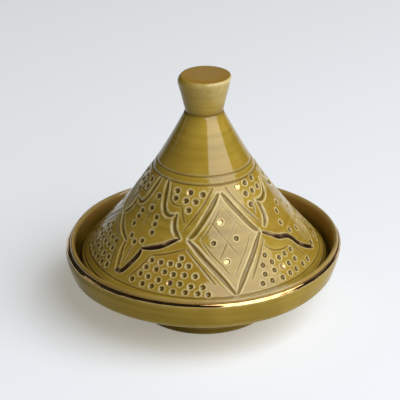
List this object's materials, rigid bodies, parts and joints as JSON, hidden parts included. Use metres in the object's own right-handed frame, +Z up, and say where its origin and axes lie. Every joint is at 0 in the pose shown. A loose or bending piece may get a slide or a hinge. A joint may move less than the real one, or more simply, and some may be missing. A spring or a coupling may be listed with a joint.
{
  "type": "tagine pot",
  "caption": "Glazed earthenware tagine: a shallow round dish on a foot ring with an upright wall, and a flared conical lid with a knob, carved and punched ornament and gold lustre.",
  "frame": {"origin": "centre of the foot ring's bottom face, on the table", "axes": "+Z up along the axis that the pot was turned about; -Y towards the side the picture shows"},
  "size_m": [0.22, 0.22, 0.1986],
  "materials": {
    "glaze": "glossy mustard-olive glaze that pools darker in the carving and breaks pale on the edges",
    "gold_lustre": "bright fired gold lustre"
  },
  "bodies": {
    "dish": {"dish": "glaze", "foot_ring": "glaze", "rim_gilding": "gold_lustre"},
    "lid": {"lid_cone": "glaze", "lid_knob": "glaze"}
  },
  "joints": [
    {"name": "lid_lift", "type": "slide", "parent": "dish", "child": "lid", "axis": [0, 0, 1], "range_m": [0, 0.2]}
  ]
}
